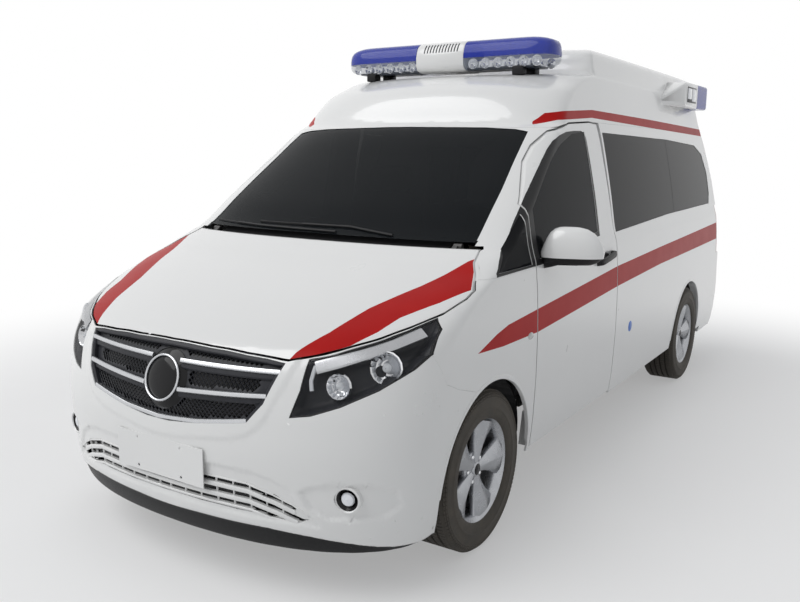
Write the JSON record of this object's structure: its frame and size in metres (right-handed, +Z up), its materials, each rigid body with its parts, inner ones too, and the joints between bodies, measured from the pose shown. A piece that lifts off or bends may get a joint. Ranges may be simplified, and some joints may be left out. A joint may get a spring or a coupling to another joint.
{
  "type": "ambulance van",
  "caption": "Van ambulance with a raised roof, light bar, hinged front doors, bonnet and tailgate, steered front wheels and a hollow cab and load space.",
  "frame": {"origin": "on the ground, at the middle of the length and width", "axes": "+X to the front, +Y to the vehicle's left, +Z up"},
  "size_m": [5.14, 2.379, 2.241],
  "materials": {
    "white_paint": "gloss",
    "black_plastic": "satin",
    "dark_glass": "gloss",
    "lamp_silver": "gloss",
    "red_lens": "gloss",
    "blue_lens": "gloss",
    "dark_steel": "satin",
    "iron": "matte",
    "tyre_rubber": "matte",
    "alloy": "satin",
    "seat_cloth": "matte"
  },
  "bodies": {
    "body": {"roof": "white_paint", "fender_left": "white_paint", "fender_right": "white_paint", "pillar_left": "white_paint", "pillar_right": "white_paint", "side_left": "white_paint", "side_right": "white_paint", "sliding_door_right": "white_paint", "front_bumper": "white_paint", "intake_grille": "white_paint", "front_plate": "white_paint", "rear_bumper": "white_paint", "light_bar": "white_paint", "corner_lamps": "white_paint", "partition": "white_paint", "cowl": "black_plastic", "wheel_housings": "black_plastic", "grille": "black_plastic", "fog_lamps": "black_plastic", "wipers": "black_plastic", "dashboard": "black_plastic", "steering_wheel": "black_plastic", "windscreen": "dark_glass", "side_glass": "dark_glass", "headlamps": "lamp_silver", "tail_lamps": "red_lens", "light_bar_lenses": "blue_lens", "floor_pan": "dark_steel", "firewall": "dark_steel", "front_axle": "dark_steel", "rear_axle": "dark_steel", "hinge_brackets": "dark_steel", "engine_block": "iron", "seats": "seat_cloth"},
    "knuckle_left": {"knuckle_left": "dark_steel"},
    "knuckle_right": {"knuckle_right": "dark_steel"},
    "wheel_front_left": {"tyre_front_left": "tyre_rubber", "rim_front_left": "alloy"},
    "wheel_front_right": {"tyre_front_right": "tyre_rubber", "rim_front_right": "alloy"},
    "wheel_rear_left": {"tyre_rear_left": "tyre_rubber", "rim_rear_left": "alloy"},
    "wheel_rear_right": {"tyre_rear_right": "tyre_rubber", "rim_rear_right": "alloy"},
    "door_left": {"door_left": "white_paint", "door_glass_left": "dark_glass", "mirror_left": "white_paint", "door_hinges_left": "dark_steel"},
    "door_right": {"door_right": "white_paint", "door_glass_right": "dark_glass", "mirror_right": "white_paint", "door_hinges_right": "dark_steel"},
    "hood": {"hood": "white_paint", "hood_hinges": "dark_steel"},
    "tailgate": {"tailgate": "white_paint", "tailgate_glass": "dark_glass", "tailgate_hinges": "dark_steel"}
  },
  "joints": [
    {"name": "steer_left", "type": "hinge", "parent": "body", "child": "knuckle_left", "pos_m": [1.675, 0.782, 0.339], "axis": [0, 0, 1], "range_deg": [-35, 35]},
    {"name": "spin_front_left", "type": "hinge", "parent": "knuckle_left", "child": "wheel_front_left", "pos_m": [1.675, 0.822, 0.339], "axis": [0, 1, 0], "continuous": true},
    {"name": "spin_rear_left", "type": "hinge", "parent": "body", "child": "wheel_rear_left", "pos_m": [-1.525, 0.822, 0.339], "axis": [0, 1, 0], "continuous": true},
    {"name": "door_left_swing", "type": "hinge", "parent": "body", "child": "door_left", "pos_m": [1.20902, 0.938, 0.8], "axis": [0, 0, -1], "range_deg": [0, 70]},
    {"name": "steer_right", "type": "hinge", "parent": "body", "child": "knuckle_right", "pos_m": [1.675, -0.782, 0.339], "axis": [0, 0, 1], "range_deg": [-35, 35]},
    {"name": "spin_front_right", "type": "hinge", "parent": "knuckle_right", "child": "wheel_front_right", "pos_m": [1.675, -0.822, 0.339], "axis": [0, 1, 0], "continuous": true},
    {"name": "spin_rear_right", "type": "hinge", "parent": "body", "child": "wheel_rear_right", "pos_m": [-1.525, -0.822, 0.339], "axis": [0, 1, 0], "continuous": true},
    {"name": "door_right_swing", "type": "hinge", "parent": "body", "child": "door_right", "pos_m": [1.20902, -0.938, 0.8], "axis": [0, 0, 1], "range_deg": [0, 70]},
    {"name": "hood_lift", "type": "hinge", "parent": "body", "child": "hood", "pos_m": [1.52992, 0, 1.24311], "axis": [0, -1, 0], "range_deg": [0, 50]},
    {"name": "tailgate_lift", "type": "hinge", "parent": "body", "child": "tailgate", "pos_m": [-2.35944, 0, 1.75202], "axis": [0, 1, 0], "range_deg": [0, 88]}
  ],
  "couplings": [
    {"joint": "steer_right", "follows": "steer_left", "ratio": 1}
  ]
}
